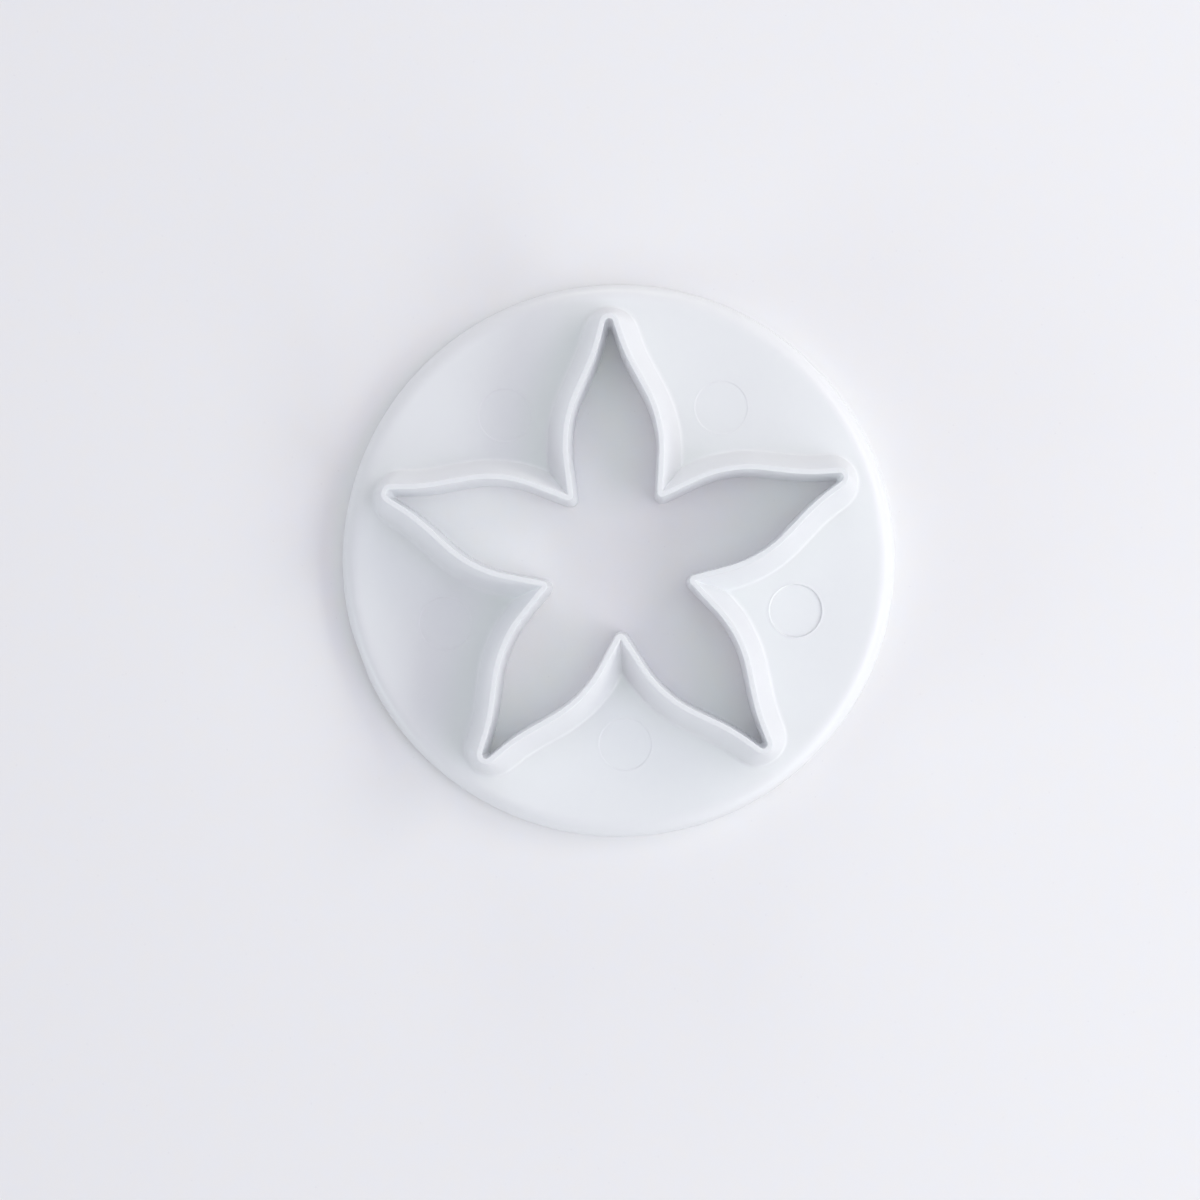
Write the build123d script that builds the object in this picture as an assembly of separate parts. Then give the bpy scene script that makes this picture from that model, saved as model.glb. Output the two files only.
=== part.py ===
"""Open calyx cutter for sugar paste, moulded in white plastic.

A thin wall in the outline of a five-petalled calyx stands on a round flange.
The wall is open right through, narrow at its cutting edge and thick at its foot.
The flange is a flat plate with a rounded shoulder and a rim turned down to the table.
Its upper side carries five shallow ejector marks, and its rim the flat left by the gate.

Frame: the origin is on the table under the calyx's centre. +Z runs up to the cutting edge,
and one petal points along +Y.
"""

import os
from math import cos, radians, sin, tan

from build123d import *

# Calyx, on the inner line of the cutting edge, in millimetres and degrees.
# From a valley to a tip, a petal's side is a straight root, a swelling belly,
# a straight shoulder, a hollow waist and a straight end.
petal_count = 5
valley_radius = 7.7          # from the centre to the corner between two petals, before rounding
foot_root_run = 0.87         # straight root left at the wall's foot, where it is shortest
root_flare_angle = 5.2       # the root leans away from the petal's axis
shoulder_lean_angle = 26.4   # the shoulder leans in towards the axis
tip_lean_angle = 16.4        # half the angle between a petal's two sides at its tip
end_half_width = 0.96        # half the petal's width where the straight end begins
belly_share = 0.335          # of the width that a side gives up between its root and its end
waist_share = 0.33
tip_round = 0.5
valley_round = 0.57

# Cutting wall. A spread is measured from the inner line, out of the petal.
wall_height = 6.8            # from the top of the flange to the cutting edge
land_width = 0.58            # flat on top of the cutting edge
foot_spread = 2.4            # foot of the wall's sloping side, on the flange
foot_blunting = 0.22         # the foot's tips are rounder by this than the spread makes them
opening_tightening = 0.35    # the opening is this much tighter at the table than at the edge
opening_tip_round = 0.15     # at the table
skirt_spread = 1.35          # outer side of the wall under the plate
skirt_thinning = 0.2         # what the skirt loses towards the table

# Flange
flange_height = 3.0          # from the table to the top of the flange
plate_thickness = 1.6
flange_border = 2.75         # from the foot at a petal's tip to the outside of the rim
rim_thickness = 1.5
shoulder_radius = 2.0        # rounded upper edge
cavity_round = 0.5           # corner between the plate's underside and the rim
rim_edge_round = 0.3         # outer lower edge of the rim

# Marks left by the mould
ejector_diameter = 6.3
ejector_depth = 0.15
ejector_place_share = 0.44   # of the way from the foot in a valley to the outside of the rim
gate_flat_depth = 0.17
gate_valley_number = 1       # anticlockwise from the one left of +Y, which is 0

cut_overrun = 1.0            # how far a cutting tool runs past what it cuts


def heading(angle):
    """Unit vector at an angle from +Y, positive towards +X."""
    return Vector(sin(radians(angle)), cos(radians(angle)))


def across(lean):
    """Unit vector out of the petal, square to a side that leans by this much."""
    return heading(lean + 90)


# Places worked out from the sizes above
petal_turn = 360 / petal_count
valley_heading = petal_turn / 2
valley_sine = sin(radians(valley_heading - root_flare_angle))
tip_sine = sin(radians(tip_lean_angle))
root_run = foot_root_run + foot_spread / tan(radians(valley_heading - root_flare_angle))
total_height = flange_height + wall_height
plate_underside = flange_height - plate_thickness

root_side = across(root_flare_angle)
shoulder_side = across(-shoulder_lean_angle)
end_side = across(-tip_lean_angle)

root_end = heading(valley_heading) * valley_radius + heading(root_flare_angle) * root_run
width_given_up = root_end.X - end_half_width
belly_radius = width_given_up * belly_share / (root_side.X - shoulder_side.X)
belly_centre = root_end - root_side * belly_radius
belly_end = belly_centre + shoulder_side * belly_radius
shoulder_run = width_given_up * (1 - belly_share - waist_share) / sin(radians(shoulder_lean_angle))
shoulder_end = belly_end + heading(-shoulder_lean_angle) * shoulder_run
waist_radius = width_given_up * waist_share / (end_side.X - shoulder_side.X)
waist_centre = shoulder_end + shoulder_side * waist_radius
waist_end = waist_centre - end_side * waist_radius
sharp_tip = waist_end.Y + waist_end.X / tan(radians(tip_lean_angle))

foot_valley_radius = valley_radius + foot_spread / valley_sine
foot_tip_round = tip_round + foot_spread + foot_blunting
foot_tip_radius = sharp_tip + (foot_spread - foot_tip_round) / tip_sine + foot_tip_round
flange_radius = foot_tip_radius + flange_border
ejector_circle = foot_valley_radius + (flange_radius - foot_valley_radius) * ejector_place_share


def petal_side(spread, tip_radius, corner_radius):
    """Edges of one side of the petal on +Y, from its valley up to its tip.

    tip_radius rounds the tip, and corner_radius the valley where it isn't zero.
    """
    corner = heading(valley_heading) * (valley_radius + spread / valley_sine)
    edges = []
    if corner_radius:
        centre = corner + heading(valley_heading) * (corner_radius / valley_sine)
        apex = centre - heading(valley_heading) * corner_radius
        middle = centre - heading((valley_heading + root_flare_angle + 90) / 2) * corner_radius
        corner = centre - root_side * corner_radius
        edges.append(ThreePointArc(apex, middle, corner))

    belly_from = root_end + root_side * spread
    belly_side = across((root_flare_angle - shoulder_lean_angle) / 2)
    belly_middle = belly_centre + belly_side * (belly_radius + spread)
    belly_to = belly_end + shoulder_side * spread
    edges.append(Line(corner, belly_from))
    edges.append(ThreePointArc(belly_from, belly_middle, belly_to))

    waist_from = shoulder_end + shoulder_side * spread
    waist_side = across(-(shoulder_lean_angle + tip_lean_angle) / 2)
    waist_middle = waist_centre - waist_side * (waist_radius - spread)
    waist_to = waist_end + end_side * spread
    edges.append(Line(belly_to, waist_from))
    edges.append(ThreePointArc(waist_from, waist_middle, waist_to))

    tip_centre = Vector(0, sharp_tip + (spread - tip_radius) / tip_sine)
    tip_from = tip_centre + end_side * tip_radius
    tip_middle = tip_centre + heading((90 - tip_lean_angle) / 2) * tip_radius
    tip_apex = tip_centre + heading(0) * tip_radius
    edges.append(Line(waist_to, tip_from))
    edges.append(ThreePointArc(tip_from, tip_middle, tip_apex))
    return edges


def calyx(level, spread, tip_radius, corner_radius=0):
    """Flat face inside the whole outline, at a height above the table."""
    outline = []
    for petal in range(petal_count):
        for edge in petal_side(spread, tip_radius, corner_radius):
            for side in (edge, edge.mirror(Plane.YZ)):
                outline.append(side.rotate(Axis.Z, petal * petal_turn))
    return Pos(0, 0, level) * Face(Wire(outline))


def valley_place(valley, radius, level):
    """A place out from the centre through a valley; valleys count anticlockwise."""
    return Rot(0, 0, valley_heading + valley * petal_turn) * Pos(0, radius, level)


def round_plate(radius, height):
    """Upright disc that stands on the table."""
    return Cylinder(radius, height, align=(Align.CENTER, Align.CENTER, Align.MIN))


def make_cutting_wall():
    """Sloping blade above the flange, its root in the plate, and the skirt down to the table."""
    blade_foot = calyx(flange_height, foot_spread, foot_tip_round)
    blade_top = calyx(total_height, land_width, tip_round + land_width)
    blade = loft([blade_foot, blade_top], ruled=True)

    root = extrude(calyx(plate_underside, foot_spread, foot_tip_round), plate_thickness)

    skirt_foot_spread = skirt_spread - skirt_thinning
    skirt_foot = calyx(0, skirt_foot_spread, tip_round + skirt_foot_spread)
    skirt_top = calyx(plate_underside, skirt_spread, tip_round + skirt_spread)
    skirt = loft([skirt_foot, skirt_top], ruled=True)

    opening_foot = calyx(
        0, -opening_tightening, opening_tip_round, valley_round + opening_tightening
    )
    opening_top = calyx(total_height, 0, tip_round, valley_round)
    opening = loft([opening_foot, opening_top], ruled=True)
    return blade + root + skirt - opening


def make_flange():
    """Round plate with a turned-down rim, opened for the root of the cutting wall."""
    body = round_plate(flange_radius, flange_height)
    body = fillet(body.edges().group_by(Axis.Z)[-1], shoulder_radius)
    body = fillet(body.edges().group_by(Axis.Z)[0], rim_edge_round)

    cavity = round_plate(flange_radius - rim_thickness, plate_underside)
    body -= fillet(cavity.edges().group_by(Axis.Z)[-1], cavity_round)

    through = flange_height + cut_overrun + cut_overrun
    body -= extrude(calyx(-cut_overrun, foot_spread, foot_tip_round), through)

    ejector = round_plate(ejector_diameter / 2, ejector_depth + cut_overrun)
    for valley in range(petal_count):
        body -= valley_place(valley, ejector_circle, flange_height - ejector_depth) * ejector

    gate = Box(flange_radius, cut_overrun, through, align=(Align.CENTER, Align.MIN, Align.MIN))
    body -= valley_place(gate_valley_number, flange_radius - gate_flat_depth, -cut_overrun) * gate
    return body


parts = {
    "flange": make_flange(),
    "cutting_wall": make_cutting_wall(),
}

os.makedirs("parts", exist_ok=True)
for name, part in parts.items():
    export_step(part, f"parts/{name}.step")
    size = part.bounding_box().size
    print(f"{name}: {part.volume:.1f} mm3, {size.X:.2f} x {size.Y:.2f} x {size.Z:.2f} mm")
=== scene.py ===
"""Looks of an open calyx cutter for sugar paste, moulded in white plastic.

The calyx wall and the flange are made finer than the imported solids, which they replace.
The sizes repeat the part's own, in metres: origin on the table under the calyx's centre,
+Z up to the cutting edge, and one petal along +Y.
"""

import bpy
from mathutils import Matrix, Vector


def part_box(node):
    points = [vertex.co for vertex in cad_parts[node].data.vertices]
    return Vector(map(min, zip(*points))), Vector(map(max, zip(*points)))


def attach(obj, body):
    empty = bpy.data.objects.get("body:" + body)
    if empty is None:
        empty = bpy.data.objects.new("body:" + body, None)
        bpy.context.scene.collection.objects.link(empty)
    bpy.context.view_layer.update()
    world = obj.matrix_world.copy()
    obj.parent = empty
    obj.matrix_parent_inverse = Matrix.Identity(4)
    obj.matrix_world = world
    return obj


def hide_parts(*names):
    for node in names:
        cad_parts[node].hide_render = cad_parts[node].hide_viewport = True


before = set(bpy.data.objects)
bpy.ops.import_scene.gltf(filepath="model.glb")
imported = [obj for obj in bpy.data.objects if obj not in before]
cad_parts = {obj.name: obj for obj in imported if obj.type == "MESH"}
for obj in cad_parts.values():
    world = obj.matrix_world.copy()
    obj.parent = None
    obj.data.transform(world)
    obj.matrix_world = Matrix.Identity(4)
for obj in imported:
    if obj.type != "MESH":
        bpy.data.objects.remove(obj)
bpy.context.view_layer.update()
WALL_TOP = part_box("cutting_wall")[1].z
FLANGE_LOW, FLANGE_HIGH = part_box("flange")
FLANGE_RADIUS = min(FLANGE_HIGH.x, FLANGE_HIGH.y, -FLANGE_LOW.x, -FLANGE_LOW.y)

from math import asin, atan2, cos, pi, radians, sin, tan

import bpy
import bmesh
from bpy.props import FloatProperty, FloatVectorProperty, IntProperty, PointerProperty
from mathutils import Vector
from mathutils.geometry import delaunay_2d_cdt

bl_info = {
    "name": "Calyx Cutter",
    "version": (1, 0, 0),
    "blender": (4, 5, 0),
    "location": "3D Viewport > Sidebar > Calyx Cutter",
    "description": "Builds an open calyx cutter, with its flange and cutting wall, on a pale table",
    "category": "Object",
}

MM = 0.001
FULL_TURN = 2 * pi
RIGHT_ANGLE = pi / 2
WELD_DISTANCE = 0.001 * MM
FLAT_MARGIN = 0.1 * MM        # flat ring beside a rounding, which keeps the plate's shading flat
TABLE_GAP = 0.02 * MM         # the table lies just under the object, so that no faces share a plane
NO_WAY = Vector((0, 0, 0))
CORNER_ANGLE = radians(35)    # edges that bend more than this stay sharp
SLIVER_ANGLE = radians(0.3)   # the flange's columns keep this far from the ends of the gate's flat
JUST_UNDER = 0.999            # a height times this lies just under it
AREA_WEIGHT = 100             # large flat faces decide the shading of the edges beside them

# What a column of the half petal holds, in this order
COLUMN_PARTS = ("base", "spread_way", "tip_way", "valley_way")

# Steps along each part of a petal's side, in the order in which the side meets them
VALLEY_STEPS = 10
ROOT_STEPS = 8
BELLY_STEPS = 16
SHOULDER_STEPS = 6
WAIST_STEPS = 16
END_STEPS = 6
TIP_STEPS = 14

ROUNDING_STEPS = 6       # along each rounded edge of a wall's or a mark's section
SHOULDER_ROWS = 14       # along the flange's rounded shoulder
EDGE_ROWS = 5            # along its smaller roundings
FLANGE_COLUMNS = 288
MARK_COLUMNS = 64

# Plastic
PLASTIC_IOR = 1.53
FLOW_DETAIL = 3.0
FLOW_DISTORTION = 1.2
GRAIN_DETAIL = 2.0
GLOSS_BELOW = 0.03       # how far the grain takes the roughness down and up
GLOSS_ABOVE = 0.05
GRAIN_BUMP = 0.35
GRAIN_DEPTH = 0.004 * MM

# Painted table
PAINT_ROUGHNESS = 0.75
PAINT_GLOSS = 0.3
CLOUD_SIZE = 14 * MM
CLOUD_DETAIL = 4.0
CLOUD_ROUGHNESS = 0.6
CLOUD_RANGE = (0.35, 0.65)
SPECK_SPACING = 9 * MM
SPECK_RANGE = (0.03, 0.05)   # radius of a speck's middle and edge, as shares of the spacing
SPECK_STRENGTH = 0.6
STIPPLE_SIZE = 1.6 * MM
STIPPLE_DETAIL = 3.0
STIPPLE_BUMP = 0.3
STIPPLE_DEPTH = 0.02 * MM

SENSOR_WIDTH = 36.0      # of the camera, in millimetres


def linear(hex_colour):
    """Linear red, green, blue and alpha of an sRGB hex colour such as #EDF1F7."""
    channels = []
    for start in (1, 3, 5):
        value = int(hex_colour[start:start + 2], 16) / 255
        channels.append(value / 12.92 if value <= 0.04045 else ((value + 0.055) / 1.055) ** 2.4)
    return (*channels, 1.0)


def length(name, description, millimetres):
    """A length property whose default is given in millimetres."""
    return FloatProperty(
        name=name, description=description, default=millimetres * MM, unit="LENGTH", precision=5
    )


def angle(name, description, degrees):
    """An angle property whose default is given in degrees."""
    return FloatProperty(
        name=name, description=description, default=radians(degrees), subtype="ANGLE"
    )


def share(name, description, value):
    """A property between nought and one."""
    return FloatProperty(
        name=name, description=description, default=value, min=0, max=1, subtype="FACTOR"
    )


def colour(name, description, hex_colour):
    """A colour property whose default is an sRGB hex colour."""
    return FloatVectorProperty(
        name=name, description=description, default=linear(hex_colour), size=4, subtype="COLOR",
        min=0, max=1,
    )


class CalyxOutline(bpy.types.PropertyGroup):
    """Inner line of the cutting edge: root, belly, shoulder, waist and end of each petal's side"""

    petal_count: IntProperty(name="Petals", description="Petals round the centre", default=5, min=3)
    valley_radius: length("Valley radius", "From the centre to the corner between two petals", 7.7)
    foot_root_run: length("Foot root run", "Straight root left at the wall's foot", 0.87)
    root_flare: angle("Root flare", "The root leans away from the petal's axis", 5.2)
    shoulder_lean: angle("Shoulder lean", "The shoulder leans in towards the axis", 26.4)
    tip_lean: angle("Tip lean", "Half the angle between a petal's two sides at its tip", 16.4)
    end_half_width: length("End half width", "Half a petal's width where its end begins", 0.96)
    belly_share: share("Belly share", "Belly's share of the width that a side gives up", 0.335)
    waist_share: share("Waist share", "Waist's share of the width that a side gives up", 0.33)
    tip_round: length("Tip round", "Rounding of the inner line at a tip", 0.5)
    valley_round: length("Valley round", "Rounding of the inner line in a valley", 0.57)
    crease_round: length("Crease round", "Least rounding that the mould leaves in a valley", 0.06)


class CuttingWall(bpy.types.PropertyGroup):
    """Section of the cutting wall, measured out from the inner line of the cutting edge"""

    land_width: length("Land width", "Flat on top of the cutting edge", 0.58)
    land_inner_round: length("Inner land round", "Rounding between the land and the opening", 0.06)
    land_outer_round: length("Outer land round", "Rounding between the land and the slope", 0.13)
    foot_spread: length("Foot spread", "Foot of the sloping side, on the flange", 2.4)
    foot_blunting: length("Foot blunting", "The foot's tips are rounder by this", 0.22)
    foot_round: length("Foot round", "Hollow rounding between the wall and the flange", 0.45)
    foot_brim: length("Foot brim", "Flat edge of that rounding, level with the flange", 0.08)
    opening_tightening: length("Opening tightening", "How much tighter it is at the table", 0.35)
    skirt_spread: length("Skirt spread", "Outer side of the wall under the plate", 1.35)
    skirt_thinning: length("Skirt thinning", "What the skirt loses towards the table", 0.2)
    skirt_round: length("Skirt round", "Hollow rounding between the skirt and the plate", 0.2)
    table_round: length("Table round", "Rounding of the edges that stand on the table", 0.12)


class RoundFlange(bpy.types.PropertyGroup):
    """Round plate with a rounded shoulder and a rim turned down to the table"""

    radius: length("Radius", "Outside of the rim", FLANGE_RADIUS / MM)
    height: length("Height", "From the table to the top of the plate", FLANGE_HIGH.z / MM)
    plate_thickness: length("Plate thickness", "Thickness of the flat plate", 1.6)
    rim_thickness: length("Rim thickness", "Thickness of the turned-down rim", 1.5)
    shoulder_radius: length("Shoulder radius", "Rounding of the upper edge", 2.0)
    cavity_round: length("Cavity round", "Hollow rounding between the underside and the rim", 0.5)
    rim_edge_round: length("Rim edge round", "Rounding of the rim's outer lower edge", 0.3)
    rim_inner_round: length("Rim inner round", "Rounding of the rim's inner lower edge", 0.12)
    gate_flat_depth: length("Gate flat depth", "How deep the gate's flat cuts into the rim", 0.17)
    gate_valley_number: IntProperty(
        name="Gate valley", description="Valley of the gate, anticlockwise from +Y", default=1
    )


class EjectorMarks(bpy.types.PropertyGroup):
    """Shallow round marks that the mould's ejector pins leave on the flange"""

    diameter: length("Diameter", "Across the mark", 6.3)
    depth: length("Depth", "Below the top of the flange", 0.15)
    lip_height: length("Lip height", "Thin lip round the mark, above the flange", 0.05)
    lip_width: length("Lip width", "From the lip's crest to the foot of either side", 0.15)
    lip_round: length("Lip round", "Rounding of the lip and of the mark's floor", 0.05)
    clear_mark: IntProperty(
        name="Clear mark", description="Mark that is deepest, anticlockwise from +Y", default=3
    )
    faint_share: share("Faint share", "Depth and lip of the other marks, against the deepest", 0.3)
    place_share: share("Place", "From the foot in a valley to the outside of the rim", 0.44)


class MouldedPlastic(bpy.types.PropertyGroup):
    """Finish of the white moulded plastic"""

    body_colour: colour("Body colour", "Colour of the plastic", "#F7F8F9")
    flow_colour: colour("Flow colour", "Colour of its faint flow marks", "#F5F6F8")
    see_through: share("See-through", "Share of the light that passes on into the plastic", 0.22)
    edge_see_through: share("See-through at the edge", "The same where the wall is thinnest", 0.35)
    roughness: share("Roughness", "Roughness of the moulded surface", 0.34)
    flow_size: length("Flow size", "Distance between flow marks", 9.0)
    grain_size: length("Grain size", "Distance between the grains of the satin surface", 0.35)


class Studio(bpy.types.PropertyGroup):
    """Table, lamps and camera"""

    table_colour: colour("Table colour", "Colour of the painted table", "#EBEAEA")
    cloud_colour: colour("Cloud colour", "Colour of the faint clouds in its paint", "#EAEAEC")
    speck_colour: colour("Speck colour", "Colour of the specks in its paint", "#DEDCDF")
    table_size: length("Table size", "Side of the table", 3000.0)
    backdrop_colour: colour("Backdrop colour", "Colour seen past the table", "#ECECF0")
    daylight_colour: colour("Daylight colour", "Colour of the light from all round", "#FCF2FF")
    daylight: share("Daylight", "Strength of the light from all round", 0.388)
    camera_height: length("Camera height", "Above the table", 387.3)
    camera_right: length("Camera right", "Place of the camera along +X", 4.79)
    camera_back: length("Camera back", "Place of the camera along -Y", 11.32)
    camera_turn: angle("Camera turn", "Turn of the camera about the line of sight", -2.11)
    lens: FloatProperty(
        name="Lens", description="Focal length", default=103.34, subtype="DISTANCE_CAMERA"
    )
    shift_right: FloatProperty(name="Shift right", description="Lens shift", default=-0.0542)
    shift_up: FloatProperty(name="Shift up", description="Lens shift", default=0.05)
    bounces: IntProperty(
        name="Bounces", description="How often light may bounce between the white walls", default=12
    )


class CalyxCutter(bpy.types.PropertyGroup):
    """Everything that can be changed on the cutter and round it"""

    outline: PointerProperty(type=CalyxOutline)
    wall: PointerProperty(type=CuttingWall)
    flange: PointerProperty(type=RoundFlange)
    marks: PointerProperty(type=EjectorMarks)
    plastic: PointerProperty(type=MouldedPlastic)
    studio: PointerProperty(type=Studio)


def add_node(tree, kind, inputs=None, **settings):
    """Adds a node, makes its settings, and fills its inputs with values or with other sockets."""
    node = tree.nodes.new(kind)
    for name, value in settings.items():
        setattr(node, name, value)
    for key, value in (inputs or {}).items():
        socket = node.inputs[key]
        for source in value if isinstance(value, list) else [value]:
            if isinstance(source, bpy.types.NodeSocket):
                tree.links.new(source, socket)
            else:
                socket.default_value = source
    return node


# Outline of the calyx

def heading(turned):
    """Unit vector at an angle from +Y, positive towards +X."""
    return Vector((sin(turned), cos(turned), 0))


def across(lean):
    """Unit vector out of the petal, square to a side that leans by this much."""
    return heading(lean + RIGHT_ANGLE)


def between(first, last, steps):
    """Values from just after the first to the last, in even steps."""
    return [first + (last - first) * step / steps for step in range(1, steps + 1)]


def straight(first, last, steps):
    """Columns along a straight run between two columns."""
    return [
        tuple(a.lerp(b, way) for a, b in zip(first, last))
        for way in between(0, 1, steps)
    ]


def half_petal(outline, foot_spread):
    """Columns along the petal's side, from the valley towards +X up to the tip on +Y.

    A column is a place on the inner line, and how far that place moves for each unit of spread,
    of tip rounding and of valley rounding. All three moves are straight, so any offset outline
    is a sum of them.
    """
    turn = FULL_TURN / outline.petal_count
    valley = heading(turn / 2)
    valley_sine = sin(turn / 2 - outline.root_flare)
    tip_sine = sin(outline.tip_lean)
    root_side = across(outline.root_flare)
    shoulder_side = across(-outline.shoulder_lean)
    end_side = across(-outline.tip_lean)

    root_run = outline.foot_root_run + foot_spread / tan(turn / 2 - outline.root_flare)
    root_end = valley * outline.valley_radius + heading(outline.root_flare) * root_run
    given_up = root_end.x - outline.end_half_width
    belly_radius = given_up * outline.belly_share / (root_side.x - shoulder_side.x)
    belly_centre = root_end - root_side * belly_radius
    belly_end = belly_centre + shoulder_side * belly_radius
    shoulder_share = 1 - outline.belly_share - outline.waist_share
    shoulder_run = given_up * shoulder_share / sin(outline.shoulder_lean)
    shoulder_end = belly_end + heading(-outline.shoulder_lean) * shoulder_run
    waist_radius = given_up * outline.waist_share / (end_side.x - shoulder_side.x)
    waist_centre = shoulder_end + shoulder_side * waist_radius
    waist_end = waist_centre - end_side * waist_radius
    sharp_tip = Vector((0, waist_end.y + waist_end.x / tan(outline.tip_lean), 0))

    corner = valley * outline.valley_radius
    valley_way = valley / valley_sine
    tip_way = heading(0) / tip_sine
    columns = [(corner, valley_way, NO_WAY, valley_way - valley)]
    for turned in between(turn / 2, outline.root_flare + RIGHT_ANGLE, VALLEY_STEPS):
        columns.append((corner, valley_way, NO_WAY, valley_way - heading(turned)))
    columns += straight(columns[-1], (root_end, root_side, NO_WAY, NO_WAY), ROOT_STEPS)
    for lean in between(outline.root_flare, -outline.shoulder_lean, BELLY_STEPS):
        columns.append((belly_centre + across(lean) * belly_radius, across(lean), NO_WAY, NO_WAY))
    columns += straight(columns[-1], (shoulder_end, shoulder_side, NO_WAY, NO_WAY), SHOULDER_STEPS)
    for lean in between(-outline.shoulder_lean, -outline.tip_lean, WAIST_STEPS):
        columns.append((waist_centre - across(lean) * waist_radius, across(lean), NO_WAY, NO_WAY))
    columns += straight(columns[-1], (sharp_tip, tip_way, end_side - tip_way, NO_WAY), END_STEPS)
    for lean in between(-outline.tip_lean, -RIGHT_ANGLE, TIP_STEPS):
        columns.append((sharp_tip, tip_way, across(lean) - tip_way, NO_WAY))
    return columns


def foot_reach(wall, flange):
    """How far the wall reaches out over the flange: its hollow rounding and a narrow flat brim."""
    slope = atan2(WALL_TOP - flange.height, wall.foot_spread - wall.land_width)
    return wall.foot_round * tan(slope / 2) + wall.foot_brim


def foot_line(outline, wall, flange):
    """Closed line, anticlockwise, where the rounding at the wall's foot meets the flange."""
    spread = wall.foot_spread + foot_reach(wall, flange)
    tip = outline.tip_round + spread + wall.foot_blunting
    side = [
        base + spread_way * spread + tip_way * tip + valley_way * outline.crease_round
        for base, spread_way, tip_way, valley_way in half_petal(outline, wall.foot_spread)
    ]
    mirrored = [Vector((-place.x, place.y, 0)) for place in reversed(side[1:-1])]
    line = []
    for petal in range(outline.petal_count):
        turned = FULL_TURN * petal / outline.petal_count
        for place in side + mirrored:
            line.append(Vector((
                place.x * cos(turned) - place.y * sin(turned),
                place.x * sin(turned) + place.y * cos(turned),
            )))
    return line


def mark_centres(outline, wall, flange, marks):
    """Places of the ejector marks, one on each valley's line, and the way out there."""
    valley_sine = sin(pi / outline.petal_count - outline.root_flare)
    foot = outline.valley_radius + wall.foot_spread / valley_sine
    reach = foot + (flange.radius - foot) * marks.place_share
    places = []
    for valley in range(outline.petal_count):
        turned = RIGHT_ANGLE + (valley + 0.5) * FULL_TURN / outline.petal_count
        places.append((Vector((cos(turned), sin(turned))) * reach, turned))
    return places


# Node trees

def new_tree(name, inputs):
    """Geometry node tree with a mesh in and out and these named inputs: name, kind, subtype."""
    tree = bpy.data.node_groups.new(name, "GeometryNodeTree")
    tree.is_modifier = True
    tree.interface.new_socket(name="Geometry", in_out="INPUT", socket_type="NodeSocketGeometry")
    for label, kind, subtype in inputs:
        socket = tree.interface.new_socket(name=label, in_out="INPUT", socket_type=kind)
        if subtype:
            socket.subtype = subtype
    tree.interface.new_socket(name="Geometry", in_out="OUTPUT", socket_type="NodeSocketGeometry")
    return tree


def run_tree(piece, tree, values):
    """Puts a tree on a piece as a modifier and gives its named inputs their values."""
    modifier = piece.modifiers.new(tree.name, "NODES")
    modifier.node_group = tree
    for socket in tree.interface.items_tree:
        if socket.in_out == "INPUT" and socket.name in values:
            modifier[socket.identifier] = values[socket.name]


def settle(piece):
    """Turns the result of the piece's modifiers into its own plain mesh."""
    weighting = piece.modifiers.new("Flat faces stay flat", "WEIGHTED_NORMAL")
    weighting.mode = "FACE_AREA_WITH_ANGLE"
    weighting.weight = AREA_WEIGHT
    weighting.keep_sharp = True
    depsgraph = bpy.context.evaluated_depsgraph_get()
    mesh = bpy.data.meshes.new_from_object(piece.evaluated_get(depsgraph), depsgraph=depsgraph)
    piece.modifiers.clear()

    # A mesh made by nodes brings an empty material slot along
    numbers = [face.material_index for face in mesh.polygons]
    used = sorted(set(numbers))
    finishes = [mesh.materials[number] for number in used]
    mesh.materials.clear()
    for finish in finishes:
        mesh.materials.append(finish)
    mesh.polygons.foreach_set("material_index", [used.index(number) for number in numbers])
    mesh.name = piece.name
    piece.data = mesh


def weld_and_paint(tree, geometry, plastic):
    """Ends a tree: welds the mesh, shades it smooth apart from its corners, and paints it."""
    welded = add_node(tree, "GeometryNodeMergeByDistance", {
        "Geometry": geometry, "Distance": WELD_DISTANCE,
    })
    smooth = add_node(tree, "GeometryNodeSetShadeSmooth", {"Geometry": welded.outputs["Geometry"]})
    bend = add_node(tree, "GeometryNodeInputMeshEdgeAngle").outputs["Unsigned Angle"]
    corner = add_node(tree, "ShaderNodeMath", {0: bend, 1: CORNER_ANGLE}, operation="GREATER_THAN")
    shaded = add_node(tree, "GeometryNodeSetShadeSmooth", {
        "Geometry": smooth.outputs["Geometry"], "Selection": corner.outputs["Value"],
        "Shade Smooth": False,
    }, domain="EDGE")
    painted = add_node(tree, "GeometryNodeSetMaterial", {
        "Geometry": shaded.outputs["Geometry"], "Material": plastic,
    })
    add_node(tree, "NodeGroupOutput", {"Geometry": painted.outputs["Geometry"]})


def calculator(tree):
    """A function that puts a sum into the tree and returns the socket of its result."""
    def calculate(operation, first, second=0.0):
        inputs = {0: first, 1: second}
        return add_node(tree, "ShaderNodeMath", inputs, operation=operation).outputs["Value"]
    return calculate


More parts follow.
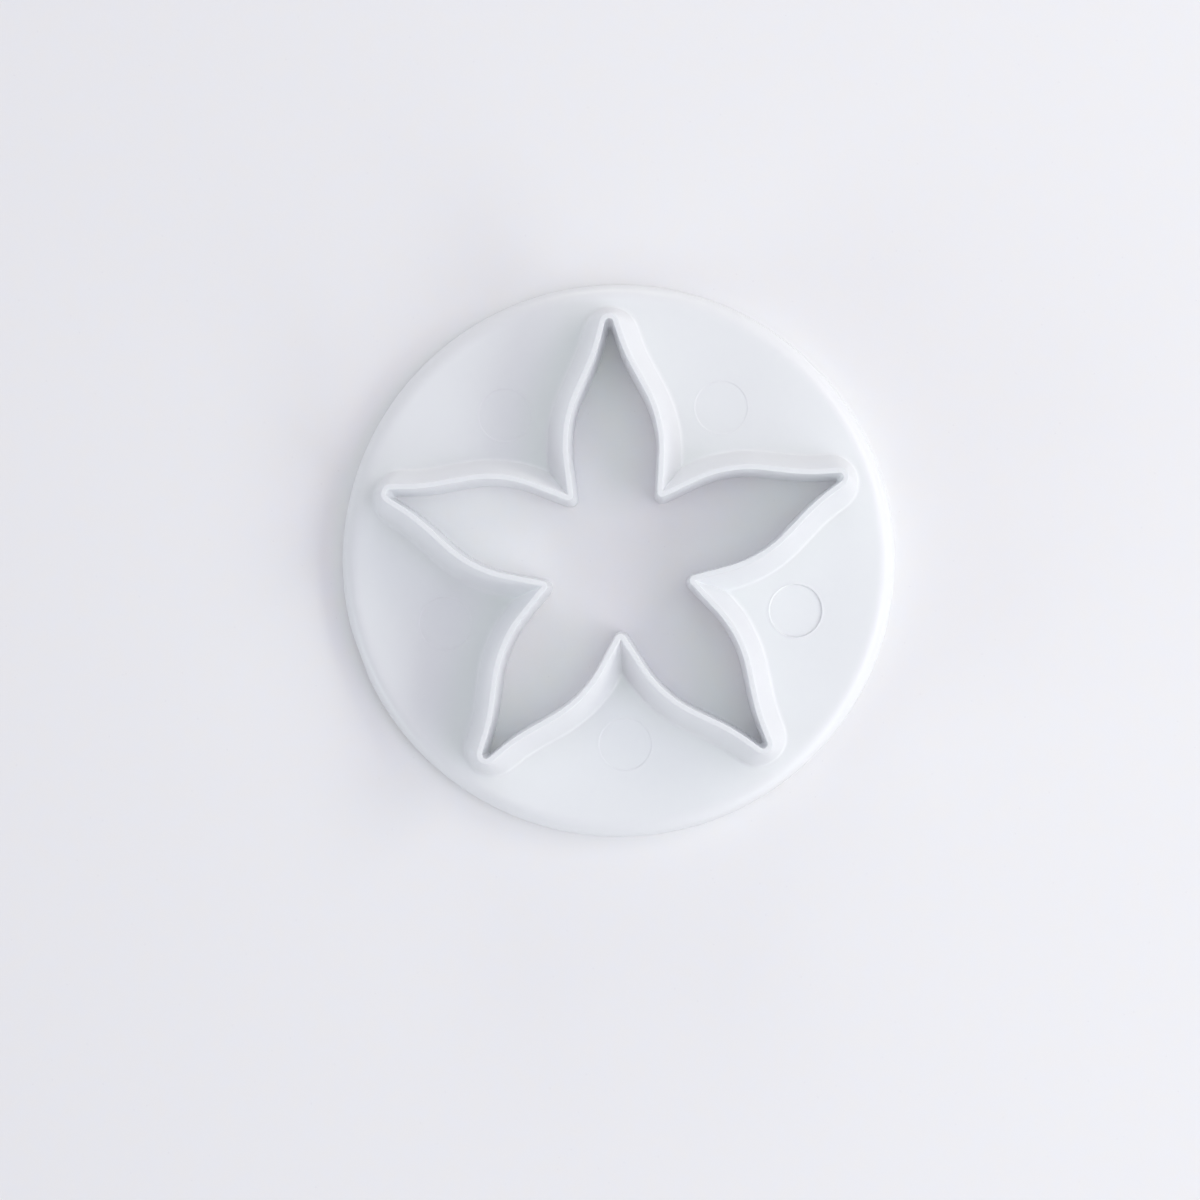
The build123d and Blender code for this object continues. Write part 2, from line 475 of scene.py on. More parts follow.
def swept_grid(tree, corners, roundings, columns):
    """Grid of faces whose rows follow a section and whose columns wait to be placed.

    The section is a line through the corners, rounded at each of them. The sockets returned are
    the grid, each vertex's column number, and its place on the section.
    """
    count = len(corners)
    line = add_node(tree, "GeometryNodeMeshLine", {"Count": count})
    curve = add_node(tree, "GeometryNodeMeshToCurve", {"Mesh": line.outputs["Mesh"]})
    number = add_node(tree, "GeometryNodeInputIndex").outputs["Index"]
    place = add_node(tree, "GeometryNodeIndexSwitch", {"Index": number}, data_type="VECTOR")
    radius = add_node(tree, "GeometryNodeIndexSwitch", {"Index": number}, data_type="FLOAT")
    for switch in (place, radius):
        while len(switch.index_switch_items) < count:
            switch.index_switch_items.new()
    for item, (spread, level) in enumerate(corners):
        corner = add_node(tree, "ShaderNodeCombineXYZ", {"X": spread, "Y": level})
        tree.links.new(corner.outputs["Vector"], place.inputs[item + 1])
        if isinstance(roundings[item], bpy.types.NodeSocket):
            tree.links.new(roundings[item], radius.inputs[item + 1])
        else:
            radius.inputs[item + 1].default_value = roundings[item]
    placed = add_node(tree, "GeometryNodeSetPosition", {
        "Geometry": curve.outputs["Curve"], "Position": place.outputs["Output"],
    })
    rounded = add_node(tree, "GeometryNodeFilletCurve", {
        "Curve": placed.outputs["Geometry"], "Count": ROUNDING_STEPS,
        "Radius": radius.outputs["Output"], "Limit Radius": True,
    }, mode="POLY")
    section = add_node(tree, "GeometryNodeCurveToMesh", {"Curve": rounded.outputs["Curve"]})
    section = section.outputs["Mesh"]
    size = add_node(
        tree, "GeometryNodeAttributeDomainSize", {"Geometry": section}, component="MESH"
    )
    rows = size.outputs["Point Count"]

    calculate = calculator(tree)
    last_column = calculate("SUBTRACT", columns, 1.0)
    last_row = calculate("SUBTRACT", rows, 1.0)
    grid = add_node(tree, "GeometryNodeMeshGrid", {
        "Size X": last_column, "Size Y": last_row, "Vertices X": columns, "Vertices Y": rows,
    })
    position = add_node(tree, "GeometryNodeInputPosition").outputs["Position"]
    axes = add_node(tree, "ShaderNodeSeparateXYZ", {"Vector": position})
    numbers = []
    for axis, last in (("X", last_column), ("Y", last_row)):
        moved = calculate("ADD", axes.outputs[axis], calculate("DIVIDE", last, 2.0))
        numbers.append(calculate("ROUND", moved))
    on_section = add_node(tree, "GeometryNodeSampleIndex", {
        "Geometry": section, "Value": position, "Index": numbers[1],
    }, data_type="FLOAT_VECTOR", domain="POINT")
    return grid.outputs["Mesh"], numbers[0], on_section.outputs["Value"]


def wall_tree():
    """Tree that sweeps the wall's section along half a petal and repeats it round the centre."""
    lengths = (
        "Top", "Flange Top", "Plate Underside", "Land Width", "Inner Land Round",
        "Outer Land Round", "Foot Spread", "Foot Blunting", "Foot Round", "Foot Reach",
        "Opening Tightening", "Skirt Spread", "Skirt Foot Spread", "Skirt Round", "Table Round",
        "Tip Round", "Valley Round", "Crease Round",
    )
    tree = new_tree("Calyx wall", [
        ("Petals", "NodeSocketInt", ""),
        *((name, "NodeSocketFloat", "DISTANCE") for name in lengths),
        ("Plastic", "NodeSocketMaterial", ""),
    ])
    given = add_node(tree, "NodeGroupInput").outputs
    calculate = calculator(tree)

    inner_foot = calculate("MULTIPLY", given["Opening Tightening"], -1.0)
    inner_middle = calculate("MULTIPLY", inner_foot, 0.5)
    middle_height = calculate("MULTIPLY", given["Top"], 0.5)
    reached = calculate("ADD", given["Foot Spread"], given["Foot Reach"])
    corners = [
        (inner_middle, middle_height),
        (0.0, given["Top"]),
        (given["Land Width"], given["Top"]),
        (given["Foot Spread"], given["Flange Top"]),
        (reached, given["Flange Top"]),
        (reached, given["Plate Underside"]),
        (given["Skirt Spread"], given["Plate Underside"]),
        (given["Skirt Foot Spread"], 0.0),
        (inner_foot, 0.0),
        (inner_middle, middle_height),
    ]
    roundings = [
        0.0, given["Inner Land Round"], given["Outer Land Round"], given["Foot Round"], 0.0, 0.0,
        given["Skirt Round"], given["Table Round"], given["Table Round"], 0.0,
    ]
    line = given["Geometry"]
    size = add_node(tree, "GeometryNodeAttributeDomainSize", {"Geometry": line}, component="MESH")
    grid, column, on_section = swept_grid(tree, corners, roundings, size.outputs["Point Count"])
    section = add_node(tree, "ShaderNodeSeparateXYZ", {"Vector": on_section}).outputs
    spread, level = section["X"], section["Y"]

    # Only the outer side above the plate's underside is blunted, in step with its spread
    beyond_land = calculate("SUBTRACT", spread, given["Land Width"])
    slope_spread = calculate("SUBTRACT", given["Foot Spread"], given["Land Width"])
    beyond_share = calculate("DIVIDE", beyond_land, slope_spread)
    blunted = add_node(tree, "ShaderNodeClamp", {"Value": beyond_share}).outputs["Result"]
    nearly_underside = calculate("MULTIPLY", given["Plate Underside"], JUST_UNDER)
    above = calculate("GREATER_THAN", level, nearly_underside)
    blunting = calculate(
        "MULTIPLY", calculate("MULTIPLY", blunted, above), given["Foot Blunting"]
    )
    tip = calculate("ADD", calculate("ADD", spread, given["Tip Round"]), blunting)
    valley = calculate("SUBTRACT", given["Valley Round"], spread)
    valley = calculate("MAXIMUM", valley, given["Crease Round"])

    place = add_node(tree, "ShaderNodeCombineXYZ", {"Z": level}).outputs["Vector"]
    for name, amount in zip(COLUMN_PARTS, (1.0, spread, tip, valley)):
        way = add_node(
            tree, "GeometryNodeInputNamedAttribute", {"Name": name}, data_type="FLOAT_VECTOR"
        ).outputs["Attribute"]
        way = add_node(tree, "GeometryNodeSampleIndex", {
            "Geometry": line, "Value": way, "Index": column,
        }, data_type="FLOAT_VECTOR", domain="POINT").outputs["Value"]
        way = add_node(
            tree, "ShaderNodeVectorMath", {0: way, "Scale": amount}, operation="SCALE"
        ).outputs["Vector"]
        place = add_node(
            tree, "ShaderNodeVectorMath", {0: place, 1: way}, operation="ADD"
        ).outputs["Vector"]
    mirrored = add_node(tree, "GeometryNodeSetPosition", {"Geometry": grid, "Position": place})
    mirrored = mirrored.outputs["Geometry"]

    # The grid's faces point inwards on this side, and mirroring turns them out
    side = add_node(tree, "GeometryNodeFlipFaces", {"Mesh": mirrored}).outputs["Mesh"]
    mirrored = add_node(tree, "GeometryNodeTransform", {
        "Geometry": mirrored, "Scale": (-1.0, 1.0, 1.0),
    }).outputs["Geometry"]
    petal = add_node(tree, "GeometryNodeJoinGeometry", {"Geometry": [mirrored, side]})
    centres = add_node(tree, "GeometryNodePoints", {"Count": given["Petals"]})
    number = add_node(tree, "GeometryNodeInputIndex").outputs["Index"]
    turn = calculate("MULTIPLY", calculate("DIVIDE", FULL_TURN, given["Petals"]), number)
    turned = add_node(tree, "ShaderNodeCombineXYZ", {"Z": turn}).outputs["Vector"]
    petals = add_node(tree, "GeometryNodeInstanceOnPoints", {
        "Points": centres.outputs[0], "Instance": petal.outputs["Geometry"], "Rotation": turned,
    })
    whole = add_node(
        tree, "GeometryNodeRealizeInstances", {"Geometry": petals.outputs["Instances"]}
    )
    weld_and_paint(tree, whole.outputs["Geometry"], given["Plastic"])
    return tree


def marks_tree():
    """Tree that closes the round holes in the flange's top with the ejector pins' shallow marks."""
    lengths = ("Radius", "Depth", "Lip Height", "Lip Width", "Lip Round", "Circle", "Flange Top")
    tree = new_tree("Ejector marks", [
        ("Marks", "NodeSocketInt", ""),
        ("Columns", "NodeSocketInt", ""),
        ("Clear Mark", "NodeSocketInt", ""),
        ("Faint Share", "NodeSocketFloat", "FACTOR"),
        *((name, "NodeSocketFloat", "DISTANCE") for name in lengths),
        ("Plastic", "NodeSocketMaterial", ""),
    ])
    given = add_node(tree, "NodeGroupInput").outputs
    calculate = calculator(tree)

    floor = calculate("MULTIPLY", given["Depth"], -1.0)
    crest_radius = calculate("SUBTRACT", given["Radius"], given["Lip Width"])
    floor_radius = calculate("SUBTRACT", crest_radius, given["Lip Width"])
    corners = [
        (0.0, floor),
        (floor_radius, floor),
        (crest_radius, given["Lip Height"]),
        (given["Radius"], 0.0),
    ]
    roundings = [0.0, given["Lip Round"], given["Lip Round"], 0.0]
    columns = calculate("ADD", given["Columns"], 1.0)
    grid, column, on_section = swept_grid(tree, corners, roundings, columns)
    section = add_node(tree, "ShaderNodeSeparateXYZ", {"Vector": on_section}).outputs
    around = calculate("MULTIPLY", calculate("DIVIDE", FULL_TURN, given["Columns"]), column)
    place = add_node(tree, "ShaderNodeCombineXYZ", {
        "X": calculate("MULTIPLY", section["X"], calculate("COSINE", around)),
        "Y": calculate("MULTIPLY", section["X"], calculate("SINE", around)),
        "Z": section["Y"],
    }).outputs["Vector"]
    dish = add_node(tree, "GeometryNodeSetPosition", {"Geometry": grid, "Position": place})
    dish = add_node(tree, "GeometryNodeFlipFaces", {"Mesh": dish.outputs["Geometry"]})

    number = add_node(tree, "GeometryNodeInputIndex").outputs["Index"]
    valley = calculate("ADD", number, 0.5)
    turn = calculate("MULTIPLY", calculate("DIVIDE", FULL_TURN, given["Marks"]), valley)
    turn = calculate("ADD", turn, RIGHT_ANGLE)
    spot = add_node(tree, "ShaderNodeCombineXYZ", {
        "X": calculate("MULTIPLY", given["Circle"], calculate("COSINE", turn)),
        "Y": calculate("MULTIPLY", given["Circle"], calculate("SINE", turn)),
        "Z": given["Flange Top"],
    }).outputs["Vector"]
    spots = add_node(tree, "GeometryNodePoints", {"Count": given["Marks"], "Position": spot})
    turned = add_node(tree, "ShaderNodeCombineXYZ", {"Z": turn}).outputs["Vector"]
    is_clear = add_node(tree, "FunctionNodeCompare", {
        "A": number, "B": given["Clear Mark"],
    }, data_type="INT", operation="EQUAL")
    depth_share = add_node(tree, "GeometryNodeSwitch", {
        "Switch": is_clear.outputs["Result"], "False": given["Faint Share"], "True": 1.0,
    }, input_type="FLOAT")
    flattened = add_node(tree, "ShaderNodeCombineXYZ", {
        "X": 1.0, "Y": 1.0, "Z": depth_share.outputs["Output"],
    })
    dishes = add_node(tree, "GeometryNodeInstanceOnPoints", {
        "Points": spots.outputs[0], "Instance": dish.outputs["Mesh"], "Rotation": turned,
        "Scale": flattened.outputs["Vector"],
    })
    whole = add_node(
        tree, "GeometryNodeRealizeInstances", {"Geometry": dishes.outputs["Instances"]}
    )
    joined = add_node(tree, "GeometryNodeJoinGeometry", {
        "Geometry": [whole.outputs["Geometry"], given["Geometry"]],
    })
    weld_and_paint(tree, joined.outputs["Geometry"], given["Plastic"])
    return tree


# Materials

def new_material(name):
    """Material with an empty node tree and its shader. Returns the material, tree and shader."""
    material = bpy.data.materials.new(name)
    material.use_nodes = True
    tree = material.node_tree
    tree.nodes.clear()
    return material, tree, add_node(tree, "ShaderNodeBsdfPrincipled")


def object_pattern(tree, distance):
    """Object coordinates scaled so that one unit of a pattern is this distance."""
    place = add_node(tree, "ShaderNodeTexCoord").outputs["Object"]
    return add_node(tree, "ShaderNodeMapping", {
        "Vector": place, "Scale": (1 / distance, 1 / distance, 1 / distance),
    }).outputs["Vector"]


def white_abs(plastic):
    """White ABS, injection moulded against a satin mould. It is made once, and the pieces share it.

    To the eye it is a bluish white with a soft broad gloss. Its thin walls let some light through,
    so the table shines up inside the petals, and it has very faint cloudy flow marks and a fine
    satin grain.
    """
    name = "White moulded ABS"
    if name in bpy.data.materials:
        return bpy.data.materials[name]
    material, tree, shader = new_material(name)
    shader.inputs["IOR"].default_value = PLASTIC_IOR

    flow = add_node(tree, "ShaderNodeTexNoise", {
        "Vector": object_pattern(tree, plastic.flow_size), "Detail": FLOW_DETAIL,
        "Distortion": FLOW_DISTORTION,
    })
    mixed = add_node(tree, "ShaderNodeMix", {
        "Factor": flow.outputs["Fac"], 6: plastic.body_colour, 7: plastic.flow_colour,
    }, data_type="RGBA")
    tree.links.new(mixed.outputs[2], shader.inputs["Base Color"])

    grain = add_node(tree, "ShaderNodeTexNoise", {
        "Vector": object_pattern(tree, plastic.grain_size), "Detail": GRAIN_DETAIL,
    })
    gloss = add_node(tree, "ShaderNodeMapRange", {
        "Value": grain.outputs["Fac"],
        "To Min": plastic.roughness - GLOSS_BELOW, "To Max": plastic.roughness + GLOSS_ABOVE,
    })
    tree.links.new(gloss.outputs["Result"], shader.inputs["Roughness"])
    # The real grain is finer than a pixel, so it is drawn coarser and very shallow
    bump = add_node(tree, "ShaderNodeBump", {
        "Height": grain.outputs["Fac"], "Strength": GRAIN_BUMP, "Distance": GRAIN_DEPTH,
    })
    tree.links.new(bump.outputs["Normal"], shader.inputs["Normal"])

    # The wall thins towards its cutting edge and lets more light through there
    place = add_node(tree, "ShaderNodeTexCoord").outputs["Object"]
    level = add_node(tree, "ShaderNodeSeparateXYZ", {"Vector": place}).outputs["Z"]
    thinness = add_node(tree, "ShaderNodeMapRange", {
        "Value": level, "From Min": FLANGE_HIGH.z, "From Max": WALL_TOP,
        "To Min": plastic.see_through, "To Max": plastic.edge_see_through,
    })
    through = add_node(tree, "ShaderNodeBsdfTranslucent", {"Color": mixed.outputs[2]})
    both = add_node(tree, "ShaderNodeMixShader", {
        "Fac": thinness.outputs["Result"], 1: shader.outputs["BSDF"], 2: through.outputs["BSDF"],
    })
    add_node(tree, "ShaderNodeOutputMaterial", {"Surface": both.outputs["Shader"]})
    return material


def painted_table(studio):
    """Board painted matt white: rolled paint with faint clouds, a stipple and a few pale specks."""
    material, tree, shader = new_material("Matt painted board")
    shader.inputs["Roughness"].default_value = PAINT_ROUGHNESS
    shader.inputs["Specular IOR Level"].default_value = PAINT_GLOSS
    clouds = add_node(tree, "ShaderNodeTexNoise", {
        "Vector": object_pattern(tree, CLOUD_SIZE), "Detail": CLOUD_DETAIL,
        "Roughness": CLOUD_ROUGHNESS,
    })
    clouded = add_node(tree, "ShaderNodeMapRange", {
        "Value": clouds.outputs["Fac"], "From Min": CLOUD_RANGE[0], "From Max": CLOUD_RANGE[1],
    })
    paint = add_node(tree, "ShaderNodeMix", {
        "Factor": clouded.outputs["Result"], 6: studio.table_colour, 7: studio.cloud_colour,
    }, data_type="RGBA")
    specks = add_node(tree, "ShaderNodeTexVoronoi", {
        "Vector": object_pattern(tree, SPECK_SPACING),
    })
    few = add_node(tree, "ShaderNodeMapRange", {
        "Value": specks.outputs["Distance"], "From Min": SPECK_RANGE[0],
        "From Max": SPECK_RANGE[1], "To Min": SPECK_STRENGTH, "To Max": 0.0,
    })
    mixed = add_node(tree, "ShaderNodeMix", {
        "Factor": few.outputs["Result"], 6: paint.outputs[2], 7: studio.speck_colour,
    }, data_type="RGBA")
    tree.links.new(mixed.outputs[2], shader.inputs["Base Color"])
    stipple = add_node(tree, "ShaderNodeTexNoise", {
        "Vector": object_pattern(tree, STIPPLE_SIZE), "Detail": STIPPLE_DETAIL,
    })
    bump = add_node(tree, "ShaderNodeBump", {
        "Height": stipple.outputs["Fac"], "Strength": STIPPLE_BUMP, "Distance": STIPPLE_DEPTH,
    })
    tree.links.new(bump.outputs["Normal"], shader.inputs["Normal"])
    add_node(tree, "ShaderNodeOutputMaterial", {"Surface": shader.outputs["BSDF"]})
    return material


# Pieces

def add_object(name, data):
    """New object at the origin of the scene."""
    piece = bpy.data.objects.new(name, data)
    bpy.context.scene.collection.objects.link(piece)
    return piece


def rounded(centre, radius, start, stop, steps):
    """Rows of a revolved profile along an arc: distance from the axis, and height."""
    return [
        (centre[0] + radius * cos(turned), centre[1] + radius * sin(turned))
        for turned in [start] + between(start, stop, steps)
    ]


def flange_profile(flange):
    """Rows from the edge of the flat top, over the shoulder and rim, to the plate's underside."""
    shoulder, edge = flange.shoulder_radius, flange.rim_edge_round
    inner, hollow = flange.rim_inner_round, flange.cavity_round
    rim_inside = flange.radius - flange.rim_thickness
    underside = flange.height - flange.plate_thickness
    rows = [(flange.radius - shoulder - FLAT_MARGIN, flange.height)]
    centre = (flange.radius - shoulder, flange.height - shoulder)
    rows += rounded(centre, shoulder, RIGHT_ANGLE, 0, SHOULDER_ROWS)
    rows += rounded((flange.radius - edge, edge), edge, 0, -RIGHT_ANGLE, EDGE_ROWS)
    rows += rounded((rim_inside + inner, inner), inner, -RIGHT_ANGLE, -pi, EDGE_ROWS)
    rows += rounded((rim_inside - hollow, underside - hollow), hollow, 0, RIGHT_ANGLE, EDGE_ROWS)
    rows.append((rim_inside - hollow - FLAT_MARGIN, underside))
    return rows


def fill_plate(mesh, lines, holes, level, upwards):
    """Fills the flat region inside the first line and outside the others with triangles."""
    places, edges = [], []
    for line in lines:
        first = len(places)
        places += [Vector((place.x, place.y)) for place in line]
        edges += [
            (first + step, first + (step + 1) % len(line)) for step in range(len(line))
        ]
    found, _, faces, _, _, _ = delaunay_2d_cdt(places, edges, [], 1, WELD_DISTANCE)
    vertices = [mesh.verts.new((place.x, place.y, level)) for place in found]
    for face in faces:
        corners = [found[index] for index in face]
        centre = sum(corners, Vector((0, 0))) / len(corners)
        if any(inside(centre, hole) for hole in holes):
            continue
        order = face if upwards else list(reversed(face))
        mesh.faces.new([vertices[index] for index in order])


def inside(place, line):
    """Whether a place lies inside a closed line."""
    crossings = 0
    for start, end in zip(line, line[1:] + line[:1]):
        if (start.y > place.y) != (end.y > place.y):
            reach = start.x + (end.x - start.x) * (place.y - start.y) / (end.y - start.y)
            crossings += reach > place.x
    return crossings % 2 == 1


def flange_mesh(outline, wall, flange, marks):
    """The flange without its ejector marks, whose round holes are left open."""
    mesh = bmesh.new()
    gate_turned = RIGHT_ANGLE + (flange.gate_valley_number + 0.5) * FULL_TURN / outline.petal_count
    gate_way = Vector((cos(gate_turned), sin(gate_turned)))
    gate_reach = flange.radius - flange.gate_flat_depth
    gate_half = RIGHT_ANGLE - asin(gate_reach / flange.radius)
    gate_ends = [gate_turned + gate_half, gate_turned + FULL_TURN - gate_half]
    turns = [
        gate_turned + FULL_TURN * column / FLANGE_COLUMNS for column in range(FLANGE_COLUMNS)
    ]
    turns = [
        turned for turned in turns if all(abs(turned - end) > SLIVER_ANGLE for end in gate_ends)
    ]
    turns = sorted(turns + gate_ends)

    rows = []
    for reach, level in flange_profile(flange):
        ring = []
        for turned in turns:
            place = Vector((cos(turned), sin(turned))) * reach
            beyond = place.dot(gate_way) - gate_reach
            if beyond > 0:
                place -= gate_way * beyond
            ring.append(mesh.verts.new((place.x, place.y, level)))
        rows.append(ring)
    for upper, lower in zip(rows, rows[1:]):
        for column in range(len(turns)):
            beside = (column + 1) % len(turns)
            mesh.faces.new((upper[column], lower[column], lower[beside], upper[beside]))

    foot = foot_line(outline, wall, flange)
    pin_holes, flat_rings = [], []
    for centre, turned in mark_centres(outline, wall, flange, marks):
        ways = [turned + FULL_TURN * column / MARK_COLUMNS for column in range(MARK_COLUMNS)]
        radius = marks.diameter / 2
        for reach, rings in ((radius, pin_holes), (radius + FLAT_MARGIN, flat_rings)):
            rings.append([centre + Vector((cos(way), sin(way))) * reach for way in ways])
    underside = flange.height - flange.plate_thickness
    top_ring = [Vector((vertex.co.x, vertex.co.y)) for vertex in rows[0]]
    under_ring = [Vector((vertex.co.x, vertex.co.y)) for vertex in rows[-1]]
    holes = [foot] + pin_holes
    fill_plate(mesh, [top_ring] + holes + flat_rings, holes, flange.height, True)
    fill_plate(mesh, [under_ring, foot], [foot], underside, False)

    upper = [mesh.verts.new((place.x, place.y, flange.height)) for place in foot]
    lower = [mesh.verts.new((place.x, place.y, underside)) for place in foot]
    for step in range(len(foot)):
        beside = (step + 1) % len(foot)
        mesh.faces.new((upper[step], upper[beside], lower[beside], lower[step]))
    bmesh.ops.remove_doubles(mesh, verts=mesh.verts, dist=WELD_DISTANCE)
    return mesh


class CALYX_OT_add_wall(bpy.types.Operator):
    """Adds the calyx-shaped cutting wall, swept and repeated by geometry nodes"""

    bl_idname = "calyx.add_wall"
    bl_label = "Cutting Wall"
    bl_options = {"REGISTER", "UNDO"}

    def execute(self, context):
        cutter = context.scene.calyx_cutter
        outline, wall, flange = cutter.outline, cutter.wall, cutter.flange
        columns = half_petal(outline, wall.foot_spread)
        mesh = bpy.data.meshes.new("Half petal")
        mesh.from_pydata(
            [column[0] for column in columns],
            [(step, step + 1) for step in range(len(columns) - 1)],
            [],
        )
        for position, name in enumerate(COLUMN_PARTS):
            attribute = mesh.attributes.new(name, "FLOAT_VECTOR", "POINT")
            attribute.data.foreach_set(
                "vector", [number for column in columns for number in column[position]]
            )
        piece = add_object("cutting_wall_moulded", mesh)
        run_tree(piece, wall_tree(), {
            "Petals": outline.petal_count,
            "Top": WALL_TOP,
            "Flange Top": flange.height,
            "Plate Underside": flange.height - flange.plate_thickness,
            "Land Width": wall.land_width,
            "Inner Land Round": wall.land_inner_round,
            "Outer Land Round": wall.land_outer_round,
            "Foot Spread": wall.foot_spread,
            "Foot Blunting": wall.foot_blunting,
            "Foot Round": wall.foot_round,
            "Foot Reach": foot_reach(wall, flange),
            "Opening Tightening": wall.opening_tightening,
            "Skirt Spread": wall.skirt_spread,
            "Skirt Foot Spread": wall.skirt_spread - wall.skirt_thinning,
            "Skirt Round": wall.skirt_round,
            "Table Round": wall.table_round,
            "Tip Round": outline.tip_round,
            "Valley Round": outline.valley_round,
            "Crease Round": outline.crease_round,
            "Plastic": white_abs(cutter.plastic),
        })
        settle(piece)
        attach(piece, "root")
        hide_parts("cutting_wall")
        return {"FINISHED"}


class CALYX_OT_add_flange(bpy.types.Operator):
    """Adds the round flange with its rim, gate flat and ejector marks"""

    bl_idname = "calyx.add_flange"
    bl_label = "Flange"
    bl_options = {"REGISTER", "UNDO"}

    def execute(self, context):
        cutter = context.scene.calyx_cutter
        outline, wall, flange, marks = cutter.outline, cutter.wall, cutter.flange, cutter.marks
        data = bpy.data.meshes.new("Flange")
        mesh = flange_mesh(outline, wall, flange, marks)
        mesh.to_mesh(data)
        mesh.free()
        piece = add_object("flange_moulded", data)
        run_tree(piece, marks_tree(), {
            "Marks": outline.petal_count,
            "Columns": MARK_COLUMNS,
            "Radius": marks.diameter / 2,
            "Depth": marks.depth,
            "Lip Height": marks.lip_height,
            "Lip Width": marks.lip_width,
            "Lip Round": marks.lip_round,
            "Clear Mark": marks.clear_mark,
            "Faint Share": marks.faint_share,
            "Circle": mark_centres(outline, wall, flange, marks)[0][0].length,
            "Flange Top": flange.height,
            "Plastic": white_abs(cutter.plastic),
        })
        settle(piece)
        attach(piece, "root")
        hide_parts("flange")
        return {"FINISHED"}


# Table, light and camera

LAMPS = (
    # Name, turned from +X and raised in degrees, distance, width and height in metres, watts
    # and colour. The rows stand for what surrounds a table beside a window.
    ("Ceiling", 0, 80, 0.8, 0.4, 0.4, 0.79, "#DAFFE2"),
    ("Window, front pane", 332, 30, 0.8, 0.36, 0.28, 1.51, "#F6FCFF"),
    ("Window, middle pane", 0, 30, 0.8, 0.36, 0.28, 0.98, "#F7FFED"),
    ("Window, rear pane", 28, 30, 0.8, 0.36, 0.28, 1.19, "#FFFBF5"),
    ("Upper window", 350, 55, 1.1, 0.8, 0.35, 1.30, "#EACBFF"),
    ("Front wall", 308, 18, 1.3, 0.6, 0.4, 3.14, "#F7FFF9"),
    ("Back wall", 90, 11, 1.3, 0.6, 0.35, 3.32, "#FBFFF3"),
    ("Back ceiling", 90, 55, 1.3, 0.6, 0.6, 1.31, "#E3ECFF"),
    ("Left wall", 200, 11, 2, 1, 0.5, 9.32, "#EFFFFD"),
    ("Left ceiling", 185, 55, 2, 0.858, 0.858, 2.86, "#F1F2FF"),
)


def add_lamp(name, turned, raised, distance, width, height, watts, hex_colour):
    """Soft area lamp aimed at the object."""
    lamp = bpy.data.lights.new(name, "AREA")
    lamp.shape = "RECTANGLE"
    lamp.size = width
    lamp.size_y = height
    lamp.energy = watts
    lamp.color = linear(hex_colour)[:3]
    holder = add_object(name, lamp)
    turned, raised = radians(turned), radians(raised)
    way = Vector((cos(turned) * cos(raised), sin(turned) * cos(raised), sin(raised)))
    holder.location = way * distance
    holder.rotation_euler = (-way).to_track_quat("-Z", "Y").to_euler()


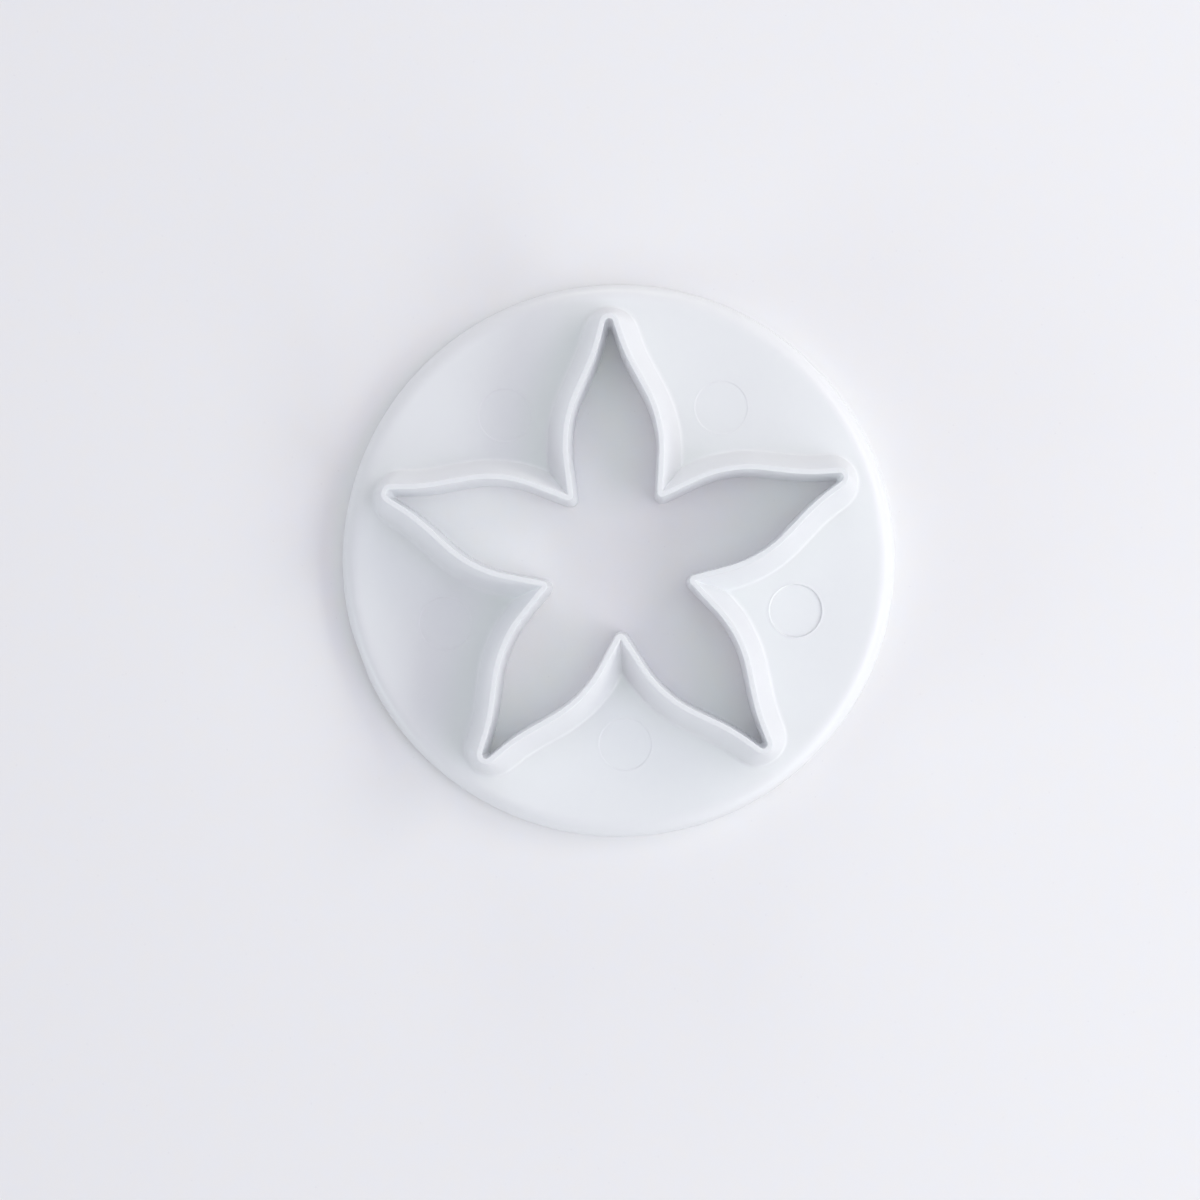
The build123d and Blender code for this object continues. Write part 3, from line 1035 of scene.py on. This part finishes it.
class CALYX_OT_add_stage(bpy.types.Operator):
    """Adds the painted table, the soft light and the camera above it"""

    bl_idname = "calyx.add_stage"
    bl_label = "Table, Light and Camera"
    bl_options = {"REGISTER", "UNDO"}

    def execute(self, context):
        studio = context.scene.calyx_cutter.studio
        half = studio.table_size / 2
        data = bpy.data.meshes.new("Table")
        corners = ((-half, -half), (half, -half), (half, half), (-half, half))
        data.from_pydata([(x, y, -TABLE_GAP) for x, y in corners], [], [(0, 1, 2, 3)])
        data.materials.append(painted_table(studio))
        add_object("table", data)

        for lamp in LAMPS:
            add_lamp(*lamp)

        world = bpy.data.worlds.new("Daylight")
        world.use_nodes = True
        tree = world.node_tree
        tree.nodes.clear()
        around = add_node(tree, "ShaderNodeBackground", {
            "Color": studio.daylight_colour, "Strength": studio.daylight,
        })
        seen = add_node(tree, "ShaderNodeBackground", {
            "Color": studio.backdrop_colour, "Strength": 1.0,
        })
        path = add_node(tree, "ShaderNodeLightPath")
        both = add_node(tree, "ShaderNodeMixShader", {
            "Fac": path.outputs["Is Camera Ray"], 1: around.outputs[0], 2: seen.outputs[0],
        })
        add_node(tree, "ShaderNodeOutputWorld", {"Surface": both.outputs[0]})
        context.scene.world = world

        camera = bpy.data.cameras.new("Camera")
        camera.lens = studio.lens
        camera.sensor_width = SENSOR_WIDTH
        camera.shift_x = studio.shift_right
        camera.shift_y = studio.shift_up
        holder = add_object("Camera", camera)
        holder.location = (studio.camera_right, -studio.camera_back, studio.camera_height)
        holder.rotation_euler = (0, 0, studio.camera_turn)
        context.scene.camera = holder
        context.scene.view_settings.view_transform = "Standard"
        # Light reaches the petals' narrow tips only after many bounces between white walls
        context.scene.cycles.diffuse_bounces = studio.bounces
        return {"FINISHED"}


class CALYX_PT_panel(bpy.types.Panel):
    """Sidebar panel that lists what can be added"""

    bl_idname = "CALYX_PT_panel"
    bl_label = "Calyx Cutter"
    bl_space_type = "VIEW_3D"
    bl_region_type = "UI"
    bl_category = "Calyx Cutter"

    def draw(self, context):
        column = self.layout.column()
        for operator in OPERATORS:
            column.operator(operator.bl_idname)
        cutter = context.scene.calyx_cutter
        for part in cutter.__annotations__:
            group = getattr(cutter, part)
            box = self.layout.box()
            box.label(text=group.bl_rna.name)
            for name in group.__annotations__:
                box.prop(group, name)


OPERATORS = (CALYX_OT_add_wall, CALYX_OT_add_flange, CALYX_OT_add_stage)
CLASSES = (
    CalyxOutline, CuttingWall, RoundFlange, EjectorMarks, MouldedPlastic, Studio, CalyxCutter,
    *OPERATORS, CALYX_PT_panel,
)


def register():
    for made in CLASSES:
        bpy.utils.register_class(made)
    bpy.types.Scene.calyx_cutter = PointerProperty(type=CalyxCutter)


def unregister():
    del bpy.types.Scene.calyx_cutter
    for made in reversed(CLASSES):
        bpy.utils.unregister_class(made)


def main():
    register()
    bpy.ops.calyx.add_wall()
    bpy.ops.calyx.add_flange()
    bpy.ops.calyx.add_stage()


if __name__ == "__main__":
    main()
